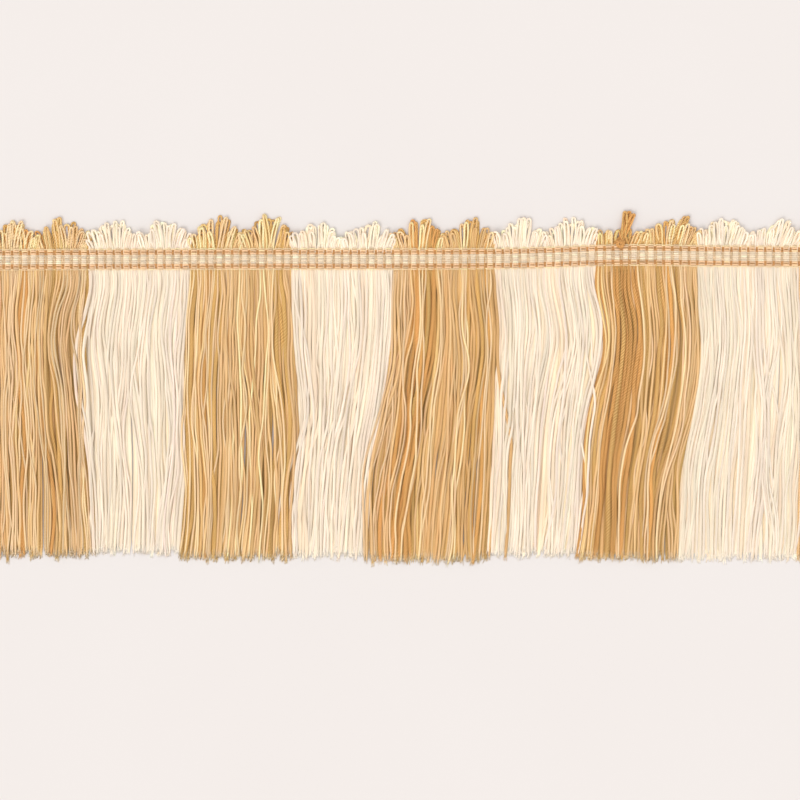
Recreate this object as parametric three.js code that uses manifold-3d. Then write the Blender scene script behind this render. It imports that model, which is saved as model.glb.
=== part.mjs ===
// Cut fringe trim: a woven heading tape whose crosswise yarns stand above it as scalloped
// loops and hang below it as a cut skirt, in alternating blocks of tan and cream.
// Millimetres, +Z up, lying on a flat surface. X runs along the tape and the skirt lies
// towards -Y. The origin is the middle of the tape's back, the face that is sewn on.
import * as THREE from "three";
import { mergeVertices } from "three/addons/utils/BufferGeometryUtils.js";
import Module from "manifold-3d";

const wasm = await Module();
wasm.setup();

// Length and repeat: every rib of the tape is one bundle of crosswise yarn.
const RIB_PITCH = 3.8;
const RIBS = 100;
const RIBS_PER_BLOCK = 12;
const RIBS_PER_SCALLOP = 6;
const LENGTH = RIB_PITCH * RIBS;
const BLOCK_WIDTH = RIB_PITCH * RIBS_PER_BLOCK;
const BLOCKS = Math.ceil(RIBS / RIBS_PER_BLOCK);
const CLEAR = 0.3;

// The woven tape: a back and a face with the yarn bundles passing between them.
const TAPE = {
  width: 9.8,
  backThickness: 0.5,
  shedHeight: 1.6,
  faceThickness: 0.55,
  postWidth: 1.0,
  columns: 16,
};
const SHED_TOP = TAPE.backThickness + TAPE.shedHeight;
const FACE_TOP = SHED_TOP + TAPE.faceThickness;
const RIB = { long: 9.3, wide: 3.2, high: 0.45, bevel: 0.4, sunk: 0.1 };

// The flat backing that each block's yarns are fused to, inside the tape.
const BACKING = {
  low: TAPE.backThickness + CLEAR,
  high: SHED_TOP - CLEAR,
  pastTape: 0.7,
  columns: 4,
};
const BACKING_HALF = TAPE.width / 2 + BACKING.pastTape;
const ROOT = TAPE.width / 2 + CLEAR;

// The skirt: a lower layer that rests on the surface and an upper layer lying on it.
const UPPER = {
  depths: [12, 36, 80],
  rootLow: 1.3,
  rootHigh: 1.75,
  low: 1.75,
  high: 3.4,
};
const LOWER = {
  depths: [14, 80],
  rootLow: 0.85,
  rootHigh: 1.25,
  low: 0,
  high: 1.4,
};
const LOCK_GAP = 0.6;
const LOCK_ROOT_SHARE = 0.6;
const WIDEST_LOCK = 3.6;
const WAVE = { swing: 0.3, ribPhase: 0.8, depthPhase: 0.055 };
const TIP = { spread: 1.4, ribPhase: 2.4 };

// The looped edge, six loops to a scallop, alternately low and high so that they overlap.
const LOOP = {
  valley: 7.2,
  thickness: 0.9,
  across: [-0.9, -1.0, -0.5, 0.5, 1.0, 0.9],
  along: [0, 0.62, 1, 1, 0.62, 0],
  rootLow: [0.85, 0.9],
  rootHigh: [1.7, 1.75],
  low: [0, 1.5],
  high: [1.2, 2.7],
};
const SCALLOP_RISE = [0, 0.55, 0.97, 1, 0.6, 0.08];
const SCALLOP_LEAN = [-4, -3, 0, 3, 7, 9];

// Colour edges of the skirt, left to right: how far each has drifted sideways at a depth
// below the tape's middle, from where it leaves the tape.
const EDGE_DEPTHS = [12, 36, 68, 100, 136];
const EDGES = [
  { at12: 0, at36: -0.9, at68: 0.0, at100: 0.5, at136: 0.5 },
  { at12: 0, at36: -2.7, at68: -0.5, at100: 0.5, at136: 0.9 },
  { at12: 0, at36: -2.7, at68: -2.5, at100: -2.3, at136: -5.4 },
  { at12: 0, at36: 1.8, at68: 2.7, at100: 0.9, at136: -1.4 },
  { at12: 0, at36: -1.4, at68: -5.9, at100: -10.8, at136: -13.1 },
  { at12: 0, at36: 1.8, at68: 0.0, at100: -0.9, at136: -3.6 },
  { at12: 0, at36: 3.2, at68: -3.2, at100: -7.2, at136: -9.0 },
  { at12: 0, at36: 1.4, at68: -1.4, at100: -7.7, at136: -8.6 },
  { at12: 0, at36: 1.4, at68: 0.9, at100: -0.2, at136: -0.5 },
  { at12: 0, at36: 1.4, at68: 0.9, at100: -0.2, at136: -0.5 },
];

// How deep each block's cut edge lies below the tape's middle, left to right.
const SKIRT_DEPTH = [135.5, 134.0, 136.5, 135.3, 137.8, 135.0, 137.0, 137.0, 137.5];

// Each scallop's peak above the tape's upper edge and its own lean in degrees.
const SCALLOPS = [
  { peak: 13.5, lean: 0 },
  { peak: 14.9, lean: 0 },
  { peak: 13.5, lean: -1 },
  { peak: 13.3, lean: 0 },
  { peak: 14.9, lean: 1 },
  { peak: 15.9, lean: -1 },
  { peak: 12.6, lean: 0 },
  { peak: 12.3, lean: 2 },
  { peak: 14.9, lean: 0 },
  { peak: 14.0, lean: 1 },
  { peak: 14.0, lean: 3 },
  { peak: 13.0, lean: 4 },
  { peak: 16.2, lean: 5 },
  { peak: 13.5, lean: 5 },
  { peak: 12.8, lean: 6 },
  { peak: 12.6, lean: 7 },
  { peak: 13.2, lean: 7 },
];

// The tape doesn't lie quite straight: the height of its middle line along its length.
const TAPE_LINE = new THREE.SplineCurve([
  new THREE.Vector2(-190, -0.4),
  new THREE.Vector2(-140, -0.2),
  new THREE.Vector2(-70, 0),
  new THREE.Vector2(0, 0),
  new THREE.Vector2(50, 0.4),
  new THREE.Vector2(95, 1.8),
  new THREE.Vector2(140, 1.3),
  new THREE.Vector2(190, 1.0),
]);
const TAPE_LINE_STEPS = 96;
const TAPE_LINE_POINTS = TAPE_LINE.getPoints(TAPE_LINE_STEPS);

const MERGE_DISTANCE = 1e-4;

// Value at x of a line through points sorted by x.
function heightAt(points, x) {
  const next = points.findIndex((p) => p.x >= x);
  if (next < 0) return points[points.length - 1].y;
  if (next === 0) return points[0].y;
  const [a, b] = [points[next - 1], points[next]];
  return THREE.MathUtils.lerp(a.y, b.y, (x - a.x) / (b.x - a.x));
}

const tapeMiddle = (x) => heightAt(TAPE_LINE_POINTS, x);
const ribX = (rib) => -LENGTH / 2 + RIB_PITCH * rib;
const blockLeft = (block) => -LENGTH / 2 + BLOCK_WIDTH * block;
const blockRight = (block) => Math.min(blockLeft(block + 1), LENGTH / 2);
const ribsIn = (block) => Math.min(RIBS_PER_BLOCK, RIBS - block * RIBS_PER_BLOCK);

// Where a colour edge lies at a depth below the tape.
function edgeX(edge, depth) {
  const row = EDGES[edge];
  const points = EDGE_DEPTHS.map((d) => new THREE.Vector2(d, row["at" + d]));
  const root = Math.min(blockLeft(edge), LENGTH / 2);
  return root + heightAt(points, depth);
}

// A place across a block, 0 at its left edge and 1 at its right, followed down the skirt.
const acrossBlock = (block, share, depth) =>
  THREE.MathUtils.lerp(edgeX(block, depth), edgeX(block + 1, depth), share);

// A three.js geometry as a solid.
function solidOf(geometry) {
  const bare = geometry.clone();
  bare.deleteAttribute("normal");
  bare.deleteAttribute("uv");
  const merged = mergeVertices(bare, MERGE_DISTANCE);
  const vertProperties = new Float32Array(merged.attributes.position.array);
  const triVerts = new Uint32Array(merged.index.array);
  return new wasm.Manifold(new wasm.Mesh({ numProp: 3, vertProperties, triVerts }));
}

// A solid as a three.js geometry with flat faces.
function geometryOf(solid) {
  const { vertProperties, triVerts } = solid.getMesh();
  const geometry = new THREE.BufferGeometry();
  geometry.setAttribute("position", new THREE.BufferAttribute(vertProperties, 3));
  geometry.setIndex(new THREE.BufferAttribute(triVerts, 1));
  const flat = geometry.toNonIndexed();
  flat.computeVertexNormals();
  return flat;
}

// Moves every vertex of a geometry to the place that a function gives for it.
function reshape(geometry, place) {
  const position = geometry.attributes.position;
  const point = new THREE.Vector3();
  for (let i = 0; i < position.count; i++) {
    place(point.fromBufferAttribute(position, i));
    position.setXYZ(i, point.x, point.y, point.z);
  }
  return geometry;
}

// A bar along X whose middle line follows the tape.
function barAlongTape(left, right, half, low, high, columns) {
  const bar = new THREE.BoxGeometry(right - left, 2 * half, high - low, columns, 1, 1);
  bar.translate((left + right) / 2, 0, (low + high) / 2);
  return solidOf(reshape(bar, (p) => (p.y += tapeMiddle(p.x))));
}

// A three-sided prism swept from t = 0 to 1. The place function turns t and a point of
// the section, u from -1 to 1 across its flat underside and v up to 1 at its ridge, into
// space.
function sweptPrism(segments, place) {
  const prism = new THREE.CylinderGeometry(1, 1, 1, 3, segments);
  const foot = 0.5;
  const side = Math.sqrt(3) / 2;
  reshape(prism, (p) => {
    const t = 0.5 - p.y;
    place(p, t, p.x / side, (p.z + foot) / (foot + 1));
  });
  const solid = solidOf(prism);
  return solid.volume() > 0 ? solid : solidOf(turnedInsideOut(prism));
}

// The same geometry with its faces pointing the other way.
function turnedInsideOut(geometry) {
  const index = geometry.index;
  for (let i = 0; i < index.count; i += 3) {
    const [b, c] = [index.getX(i + 1), index.getX(i + 2)];
    index.setX(i + 1, c);
    index.setX(i + 2, b);
  }
  return geometry;
}

// One raised rib across the tape's face, with a bevel all round.
function tapeRib(rib) {
  const x = ribX(rib + 0.5);
  const bar = new THREE.BoxGeometry(RIB.wide, RIB.long, RIB.high + RIB.sunk);
  reshape(bar, (p) => {
    const inset = p.z > 0 ? RIB.bevel : 0;
    p.x -= Math.sign(p.x) * inset;
    p.y -= Math.sign(p.y) * inset;
    p.z += FACE_TOP + (RIB.high - RIB.sunk) / 2;
  });
  bar.translate(x, tapeMiddle(x), 0);
  return solidOf(bar);
}

// The woven tape, with a shed through it for each block's backing.
function headingTape() {
  const half = TAPE.width / 2;
  let tape = barAlongTape(-LENGTH / 2, LENGTH / 2, half, 0, FACE_TOP, TAPE.columns);
  for (let block = 0; block < BLOCKS; block++) {
    const [left, right] = shedSpan(block);
    const shed = new THREE.BoxGeometry(right - left, 4 * half, TAPE.shedHeight);
    shed.translate((left + right) / 2, 0, TAPE.backThickness + TAPE.shedHeight / 2);
    tape = tape.subtract(solidOf(shed));
  }
  for (let rib = 0; rib < RIBS; rib++) tape = tape.add(tapeRib(rib));
  return tape;
}

// Left and right of a block's shed: half a post in from each colour edge, a whole post
// in from each cut end of the tape.
function shedSpan(block) {
  const fromLeft = block === 0 ? TAPE.postWidth : TAPE.postWidth / 2;
  const fromRight = block === BLOCKS - 1 ? TAPE.postWidth : TAPE.postWidth / 2;
  return [blockLeft(block) + fromLeft, blockRight(block) - fromRight];
}

// One lock of the skirt, from its root at the tape to its cut tip.
function skirtLock(block, share, layer, rib) {
  const ribs = ribsIn(block);
  const tip = SKIRT_DEPTH[block] + TIP.spread * Math.sin(rib * TIP.ribPhase);
  const depths = [ROOT, ...layer.depths, tip];
  const segments = depths.length - 1;
  return sweptPrism(segments, (p, t, u, v) => {
    const station = Math.round(t * segments);
    const atRoot = station === 0;
    const depth = depths[station];
    const pitch = acrossBlock(block, 1 / ribs, depth) - acrossBlock(block, 0, depth);
    const free = Math.min(pitch - LOCK_GAP, WIDEST_LOCK);
    const width = atRoot ? free * LOCK_ROOT_SHARE : free;
    const phase = rib * WAVE.ribPhase + depth * WAVE.depthPhase;
    const wave = atRoot ? 0 : WAVE.swing * Math.sin(phase);
    const low = atRoot ? layer.rootLow : layer.low;
    const high = atRoot ? layer.rootHigh : layer.high;
    p.x = acrossBlock(block, share, depth) + wave + (u * width) / 2;
    p.y = atRoot ? tapeMiddle(p.x) - depth : -depth;
    p.z = THREE.MathUtils.lerp(low, high, v);
  });
}

// One standing loop of the heading, a flat hairpin that leans a little.
function headingLoop(rib) {
  const scallop = SCALLOPS[Math.floor(rib / RIBS_PER_SCALLOP)];
  const place = rib % RIBS_PER_SCALLOP;
  const rise = scallop.peak - LOOP.valley;
  const height = LOOP.valley + rise * SCALLOP_RISE[place] - LOOP.thickness / 2;
  const lean = THREE.MathUtils.degToRad(SCALLOP_LEAN[place] + scallop.lean);
  const level = rib % 2;
  const x = ribX(rib + 0.5);
  const segments = LOOP.across.length - 1;
  const middles = LOOP.across.map((across, i) => {
    const up = LOOP.along[i] * height;
    return new THREE.Vector2(x + across + up * Math.tan(lean), up);
  });
  return sweptPrism(segments, (p, t, u, v) => {
    const i = Math.round(t * segments);
    const atRoot = i === 0 || i === segments;
    const before = middles[Math.max(i - 1, 0)];
    const after = middles[Math.min(i + 1, segments)];
    const along = after.clone().sub(before).normalize();
    const low = atRoot ? LOOP.rootLow[level] : LOOP.low[level];
    const high = atRoot ? LOOP.rootHigh[level] : LOOP.high[level];
    p.x = middles[i].x + (along.y * u * LOOP.thickness) / 2;
    p.y = middles[i].y - (along.x * u * LOOP.thickness) / 2;
    p.y += tapeMiddle(x) + (atRoot ? ROOT : TAPE.width / 2);
    p.z = THREE.MathUtils.lerp(low, high, v);
  });
}

// One colour block: its backing with the loops above and both layers of locks below.
function fringeBlock(block) {
  const [shedLeft, shedRight] = shedSpan(block);
  const { low, high, columns } = BACKING;
  const [left, right] = [shedLeft + CLEAR, shedRight - CLEAR];
  let solid = barAlongTape(left, right, BACKING_HALF, low, high, columns);
  const first = block * RIBS_PER_BLOCK;
  const ribs = ribsIn(block);
  for (let i = 0; i < ribs; i++) {
    const rib = first + i;
    solid = solid.add(skirtLock(block, (i + 0.5) / ribs, UPPER, rib));
    if (i > 0) solid = solid.add(skirtLock(block, i / ribs, LOWER, rib));
    solid = solid.add(headingLoop(rib));
  }
  return solid;
}

const tapeWeave = new THREE.MeshStandardMaterial({ color: 0xe4c69c, roughness: 0.85 });
const tanYarn = new THREE.MeshStandardMaterial({ color: 0xd9a96c, roughness: 0.9 });
const creamYarn = new THREE.MeshStandardMaterial({ color: 0xf2e0c2, roughness: 0.9 });
tapeWeave.metalness = 0;
tanYarn.metalness = 0;
creamYarn.metalness = 0;

const trim = new THREE.Group();

function addPiece(name, solid, material) {
  const mesh = new THREE.Mesh(geometryOf(solid), material);
  mesh.name = name;
  trim.add(mesh);
}

addPiece("heading_tape", headingTape(), tapeWeave);
for (let block = 0; block < BLOCKS; block++) {
  const tan = block % 2 === 0;
  const name = "fringe_" + (tan ? "tan_" : "cream_") + (block + 1);
  addPiece(name, fringeBlock(block), tan ? tanYarn : creamYarn);
}

export default trim;
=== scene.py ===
# %% [markdown]
# # A cut fringe trim, yarn by yarn
# The trim is a narrow woven tape that grips some hundreds of yarns. Each yarn is one long
# hairpin: it starts at a cut tip, climbs through the tape, turns over as a small loop above
# it, goes back down through the tape and ends at another cut tip. A soft thing like this
# could be a textured strip, a particle system or a cloth sheet. None of those easily gives
# yarns that lie on one another, cast shadows and fray, so here every yarn is a swept tube,
# laid down after its neighbours. All sizes are in millimetres and become metres when a mesh
# is made.

import math

import bpy
import numpy as np
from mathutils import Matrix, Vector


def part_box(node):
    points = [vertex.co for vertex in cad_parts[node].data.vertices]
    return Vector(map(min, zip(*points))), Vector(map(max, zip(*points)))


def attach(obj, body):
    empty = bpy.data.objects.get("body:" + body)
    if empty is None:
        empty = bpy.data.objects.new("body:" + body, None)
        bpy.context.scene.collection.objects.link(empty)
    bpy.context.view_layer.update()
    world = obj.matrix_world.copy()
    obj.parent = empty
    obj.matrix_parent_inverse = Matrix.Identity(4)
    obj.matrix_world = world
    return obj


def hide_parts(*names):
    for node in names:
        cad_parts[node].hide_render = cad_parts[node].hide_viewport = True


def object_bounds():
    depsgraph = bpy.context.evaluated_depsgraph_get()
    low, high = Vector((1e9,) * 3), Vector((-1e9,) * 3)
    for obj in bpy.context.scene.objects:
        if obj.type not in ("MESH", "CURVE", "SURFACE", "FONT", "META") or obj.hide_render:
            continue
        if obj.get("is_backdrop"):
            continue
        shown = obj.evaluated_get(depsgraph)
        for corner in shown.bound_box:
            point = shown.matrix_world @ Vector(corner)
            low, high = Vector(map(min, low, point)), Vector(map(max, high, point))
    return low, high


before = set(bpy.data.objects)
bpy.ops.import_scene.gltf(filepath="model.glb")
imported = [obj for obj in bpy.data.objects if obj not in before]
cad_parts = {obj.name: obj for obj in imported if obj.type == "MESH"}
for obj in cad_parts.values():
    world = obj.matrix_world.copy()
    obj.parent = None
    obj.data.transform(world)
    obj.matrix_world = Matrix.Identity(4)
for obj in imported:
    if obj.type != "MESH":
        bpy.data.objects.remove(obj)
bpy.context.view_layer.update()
bpy.ops.object.select_all(action="DESELECT")

MM = 0.001
BLOCKS = [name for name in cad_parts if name.startswith("fringe_")]
BLOCKS.sort(key=lambda name: int(name.split("_")[-1]))
print("colour blocks:", BLOCKS)

# %% [markdown]
# ## Sizes that drive everything
# The tape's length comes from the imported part. A rib is one bundle of yarn between two
# crossings of the warp, and twelve ribs of one colour make a block.

# %% Tape and repeat
tape_low, tape_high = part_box("heading_tape")
LEFT, RIGHT = tape_low.x / MM, tape_high.x / MM
RIBS = 100
RIB_PITCH = (RIGHT - LEFT) / RIBS
RIBS_PER_BLOCK = 12
RIBS_PER_SCALLOP = 6
LEGS_PER_RIB = 10
TAPE_HALF = 4.9
print(f"tape {RIGHT - LEFT:.0f} mm long, a rib every {RIB_PITCH:.2f} mm")

# %% [markdown]
# ## The lie of the trim
# The tape wanders a little and the colour edges of the skirt drift sideways on their way
# down. Both are short tables of real sizes. A smooth curve through them is what the yarns
# follow.

# %% A smooth curve through a few points
def smooth_curve(points, steps):
    """Points on a Catmull-Rom curve through the given ones, steps of them to each stretch."""
    p = np.array(points, float)
    p = np.vstack([p[:1], p, p[-1:]])
    t = np.linspace(0, 1, steps, endpoint=False)[:, None]
    pieces = []
    for a, b, c, d in zip(p, p[1:], p[2:], p[3:]):
        pieces.append(0.5 * (2 * b + (c - a) * t + (2 * a - 5 * b + 4 * c - d) * t**2
                             + (3 * b - a - 3 * c + d) * t**3))
    return np.vstack([*pieces, p[-1:]])


TAPE_LINE = smooth_curve([(-190, -0.4), (-140, -0.2), (-70, 0), (0, 0), (50, 0.4), (95, 1.8),
                          (140, 1.3), (190, 1.0)], steps=16)


def tape_middle(x):
    """Height of the tape's middle line at x."""
    return np.interp(x, TAPE_LINE[:, 0], TAPE_LINE[:, 1])


print(f"the tape's middle rises {np.ptp(TAPE_LINE[:, 1]):.1f} mm along its length")

# %% Colour edges and cut depth
EDGE_DEPTHS = [0, 12, 36, 68, 100, 140]
# A row for each colour edge, from the left: how far it has drifted at each of those depths.
EDGE_DRIFT = [
    [0, 0, -0.9, 0.0, 0.5, 0.5],
    [0, 0, -2.7, -0.5, 0.5, 0.9],
    [0, 0, -2.7, -2.5, -2.3, -5.4],
    [0, 0, 1.8, 2.7, 0.9, -1.4],
    [0, 0, -1.4, -5.9, -10.8, -13.1],
    [0, 0, 1.8, 0.0, -0.9, -3.6],
    [0, 0, 3.2, -3.2, -7.2, -9.0],
    [0, 0, 1.4, -1.4, -7.7, -8.6],
    [0, 0, 1.4, 0.9, -0.2, -0.5],
    [0, 0, 1.4, 0.9, -0.2, -0.5],
]
EDGE_LINES = [smooth_curve(list(zip(EDGE_DEPTHS, row)), steps=12) for row in EDGE_DRIFT]
SKIRT_DEPTH = [135.5, 134.0, 136.5, 135.3, 137.8, 135.0, 137.0, 137.0, 137.5]


def edge_x(edge, depth):
    """Where a colour edge lies at each depth."""
    root = min(LEFT + edge * RIB_PITCH * RIBS_PER_BLOCK, RIGHT)
    return root + np.interp(depth, EDGE_LINES[edge][:, 0], EDGE_LINES[edge][:, 1])


def ribs_in(block):
    return min(RIBS_PER_BLOCK, RIBS - block * RIBS_PER_BLOCK)


def across_block(block, share, depth):
    """A place across a block, 0 at its left edge and 1 at its right, followed down the skirt."""
    left, right = edge_x(block, depth), edge_x(block + 1, depth)
    return left + (right - left) * share


print(f"{len(BLOCKS)} blocks, skirt {min(SKIRT_DEPTH)} to {max(SKIRT_DEPTH)} mm deep")

# %% [markdown]
# ## Yarns
# The yarn of this fringe is a mixture. Under each colour block lies a bed of soft wide yarns,
# and on it finer strands and, in the tan blocks, golden cords whose twist shows. A table
# gives each kind its share, its half width and half height, how many plies it has, how far
# apart they cross its face and how dark the painted shade in the grooves between them is.
# For the yarns on top it also says how high they tend to lie, from 0 under the others to 1
# over them. Two tan blocks hold more cords than the rest.

# %% Yarn kinds
BED, TOP = 0, 1
YARNS = {
    ("tan", BED): [
        dict(kind="soft tan", share=0.52, wide=0.86, high=0.34, plies=4, crossing=1.3,
             groove=1.4, tone=(0.962, 0.828, 0.615)),
        dict(kind="golden cord", share=0.28, wide=0.95, high=0.38, plies=4, crossing=1.45,
             groove=1.9, tone=(0.917, 0.790, 0.545)),
        dict(kind="olive cord", share=0.20, wide=0.90, high=0.36, plies=4, crossing=1.45,
             groove=1.8, tone=(0.862, 0.730, 0.495)),
    ],
    ("tan", TOP): [
        dict(kind="fine straw", share=0.38, wide=0.47, high=0.36, plies=2, crossing=1.3,
             groove=0.7, lies=0.75, tone=(0.998, 0.900, 0.752)),
        dict(kind="soft straw", share=0.29, wide=0.56, high=0.40, plies=3, crossing=1.25,
             groove=1.0, lies=0.50, tone=(0.990, 0.863, 0.678)),
        dict(kind="soft tan", share=0.17, wide=0.68, high=0.42, plies=4, crossing=1.3,
             groove=1.4, lies=0.34, tone=(0.972, 0.835, 0.623)),
        dict(kind="golden cord", share=0.09, wide=0.95, high=0.50, plies=4, crossing=1.45,
             groove=1.9, lies=0.26, tone=(0.922, 0.785, 0.535)),
        dict(kind="amber cord", share=0.07, wide=0.88, high=0.50, plies=4, crossing=1.45,
             groove=1.7, lies=0.40, tone=(0.932, 0.743, 0.485)),
    ],
    ("cream", BED): [
        dict(kind="soft cream", share=0.60, wide=0.96, high=0.22, plies=4, crossing=1.1,
             groove=1.0, tone=(0.982, 0.934, 0.852)),
        dict(kind="beige cord", share=0.40, wide=1.00, high=0.22, plies=4, crossing=1.1,
             groove=1.2, tone=(0.976, 0.910, 0.802)),
    ],
    ("cream", TOP): [
        dict(kind="fine ivory", share=0.48, wide=0.56, high=0.22, plies=2, crossing=1.1,
             groove=0.8, lies=0.75, tone=(0.958, 0.906, 0.838)),
        dict(kind="soft ivory", share=0.37, wide=0.68, high=0.23, plies=3, crossing=1.0,
             groove=1.0, lies=0.50, tone=(0.958, 0.903, 0.826)),
        dict(kind="soft peach", share=0.15, wide=0.78, high=0.24, plies=4, crossing=1.0,
             groove=1.1, lies=0.30, tone=(0.962, 0.892, 0.798)),
    ],
}
MORE_CORDS = {4: 1.5, 6: 2.0}
rng = np.random.default_rng(7)


def pick_yarn(block, layer):
    """One kind of yarn for a block, by the shares of the kinds there."""
    kinds = YARNS["tan" if block % 2 == 0 else "cream", layer]
    cords = MORE_CORDS.get(block, 1)
    shares = np.array([k["share"] * (cords if "cord" in k["kind"] else 1) for k in kinds])
    return kinds[rng.choice(len(kinds), p=shares / shares.sum())]


for (colour, layer), kinds in YARNS.items():
    print(colour, "top" if layer else "bed", "shares:", round(sum(k["share"] for k in kinds), 3))

# %% [markdown]
# ## Laying yarns down
# Real yarns are laid one on another and sag into what is below. A height map of the surface
# does the same: each yarn rests on the highest thing under it, bridges small dips because
# its height is smoothed along its length, and then becomes part of the surface for the
# next one. Soft yarn also gives way. How far is a number: at 1 a yarn would lie on top of
# the one below, at 0 half of its thickness sinks in, and below 0 more than half. A physics
# run could make such a pile too, but for a thousand legs it would be slow and hard to steer.

# %% The height map
CELL = 0.3
MARGIN = 14
MAP_LEFT, MAP_BOTTOM, MAP_TALL = LEFT - MARGIN, -150.0, 185
MAP_SHAPE = (int((RIGHT - LEFT + 2 * MARGIN) / CELL), int(MAP_TALL / CELL))
# A line has a point every STEP, and a stiff yarn bridges BRIDGE of them.
STEP = 0.45
BRIDGE = 8
PRESS = {"tan": 0.0, "cream": -0.5, "loop": 0.05}
surface = np.zeros(MAP_SHAPE)


def cells_under(line):
    """Column and row of the height map at each point of a flat line."""
    return np.rint((line - (MAP_LEFT, MAP_BOTTOM)) / CELL).astype(int).T


def lay_down(line, radius, high, press):
    """Heights at which a yarn along this flat line comes to rest, after adding it to the surface."""
    reach = math.ceil(radius / CELL)
    spots = np.arange(-reach, reach + 1)
    column, row = cells_under(line)
    column = column[:, None, None] + spots[None, :, None]
    row = row[:, None, None] + spots[None, None, :]
    away = (MAP_LEFT + column * CELL - line[:, 0, None, None]) ** 2
    away = away + (MAP_BOTTOM + row * CELL - line[:, 1, None, None]) ** 2
    inside = away < radius**2
    bulge = np.sqrt(np.maximum(radius**2 - away, 0)) * high / radius
    need = np.where(inside, surface[column, row] + press * bulge, 0).max(axis=(1, 2))
    need = np.maximum(need, high)
    padded = np.pad(need, BRIDGE, mode="edge")
    peak = np.lib.stride_tricks.sliding_window_view(padded, BRIDGE + 1).max(axis=1)
    kernel = np.hanning(BRIDGE + 3)[1:-1]
    height = np.convolve(peak, kernel / kernel.sum(), mode="valid")
    top = np.where(inside, height[:, None, None] + bulge, 0)
    np.maximum.at(surface, (column, row), top)
    return height


print("height map of", MAP_SHAPE, "cells")

# %% [markdown]
# A yarn that is laid on a rounded one rolls off it into the groove beside it. So before a
# yarn comes to rest, it looks a little to the left and right of its course and takes the
# lowest way down. The best way through a row of such choices is found backwards from the
# far end, one station after the other, where leaving the course and a sudden sideways step
# both have a price. Just below the tape a yarn can't slide, because the tape holds it.

# %% Slide into the grooves
SLIDE = np.arange(-3, 4) * CELL
SLIDE_EVERY = 5
ROWS_SEEN = np.array([-3, 0, 3])
PULL_BACK = 0.20
STIFFNESS = 2.6
HELD_BY_TAPE = 12.0


def slide_into_grooves(line, radius, high, press):
    """The line moved sideways, by SLIDE at most, to where the surface is low."""
    stations = line[::SLIDE_EVERY]
    reach = max(1, round(radius / CELL))
    spots = np.arange(-reach, reach + 1)
    bulge = np.sqrt(np.maximum(radius**2 - (spots * CELL) ** 2, 0)) * high / radius
    places = np.rint(SLIDE / CELL).astype(int)
    column, row = cells_under(stations)
    column = column[:, None, None, None] + places[None, :, None, None] + spots[None, None, :, None]
    row = row[:, None, None, None] + ROWS_SEEN[None, None, None, :]
    height = (surface[column, row] + press * bulge[None, None, :, None]).max(axis=2).mean(axis=2)
    cost = height + PULL_BACK * SLIDE**2
    change = STIFFNESS * (SLIDE[:, None] - SLIDE[None, :]) ** 2
    total, choices = cost[-1], []
    for here in cost[-2::-1]:
        ways = total[None, :] + change
        choices.append(ways.argmin(axis=1))
        total = here + ways.min(axis=1)
    place = [int(total.argmin())]
    for choice in reversed(choices):
        place.append(int(choice[place[-1]]))
    shift = np.interp(np.arange(len(line)), np.arange(len(stations)) * SLIDE_EVERY, SLIDE[place])
    kernel = np.hanning(4 * SLIDE_EVERY + 1)
    shift = np.pad(shift, 2 * SLIDE_EVERY, mode="edge")
    shift = np.convolve(shift, kernel / kernel.sum(), mode="valid")
    shift = shift * np.clip(np.arange(len(line)) * STEP / HELD_BY_TAPE, 0, 1)
    return line + np.column_stack([shift, np.zeros(len(line))])


print("a yarn may slide", SLIDE.max(), "mm to either side")

# %% [markdown]
# ## The path of a hairpin
# Yarns that left the loom side by side cling together in locks. A lock sways, gathers and
# drifts as one, and one at a colour edge drifts less than those inside a block. A leg of
# the skirt follows its block's colour edges, takes its share of its lock's sway, adds waves
# of its own, and now and then strays across the others. Where the real trim has strands
# that lie over a colour edge, a short list of crossings leads them out and home again.

# %% Locks
LOCKS_PER_BLOCK, IN_ITS_SHARE = 9, (0.2, 0.8)
ANY_PHASE = (0, 6.3)
SWAY = [dict(high=1.3, along=(20, 32)), dict(high=0.7, along=(9, 14))]
GATHER, GATHER_WAVE, GATHER_SWELL = (0.1, 0.45), (18, 30), 0.4
LOCK_DRIFT, DRIFT_LEAVES, DRIFT_OVER = 1.8, (5, 60), (35, 70)
EDGE_ZONE, EDGE_DRIFTS = 0.3, 0.25


def smooth_step(t):
    t = np.clip(t, 0, 1)
    return t * t * (3 - 2 * t)


def new_lock(at):
    """A lock with its place across the block, the sines of its sway and how it leaves its place."""
    sines = []
    for s in SWAY:
        sines.append(dict(high=rng.normal(0, s["high"]), along=rng.uniform(*s["along"]),
                          start=rng.uniform(*ANY_PHASE)))
    inside = EDGE_DRIFTS + (1 - EDGE_DRIFTS) * smooth_step(min(at, 1 - at) / EDGE_ZONE)
    return dict(at=at, sines=sines, gather=rng.uniform(*GATHER), start=rng.uniform(*ANY_PHASE),
                along=rng.uniform(*GATHER_WAVE), drift=rng.normal(0, LOCK_DRIFT) * inside,
                leaves=rng.uniform(*DRIFT_LEAVES), over=rng.uniform(*DRIFT_OVER))


locks = []
for block in range(len(BLOCKS)):
    count = max(3, round(LOCKS_PER_BLOCK * ribs_in(block) / RIBS_PER_BLOCK))
    locks.append([new_lock((k + rng.uniform(*IN_ITS_SHARE)) / count) for k in range(count)])
print(sum(len(row) for row in locks), "locks")

# %% A leg of the skirt
TAIL_ROOM = 3.2
TIP_UNEVEN, TIP_SPREAD, TIP_CURVE = 1.1, 0.8, 1.5
BED_FREEDOM = 0.12
LOCK_FREE_FROM, LOCK_FREE_OVER = 4, 40
YARN_FREE_OVER = 18
NEAREST_LOCK_NOISE = 0.03
FINE_RADIUS = 0.55
OWN_WAVES = [dict(high=0.6, along=(12, 24)), dict(high=0.28, along=(5, 9))]
STRAY = dict(share=0.22, by=3.5, leaves=(5, 80), over=(30, 60))
SPREAD_OVER, LEVEL_OVER = 14, 30
CROSSING_SHARE = (0.6, 1)
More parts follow.
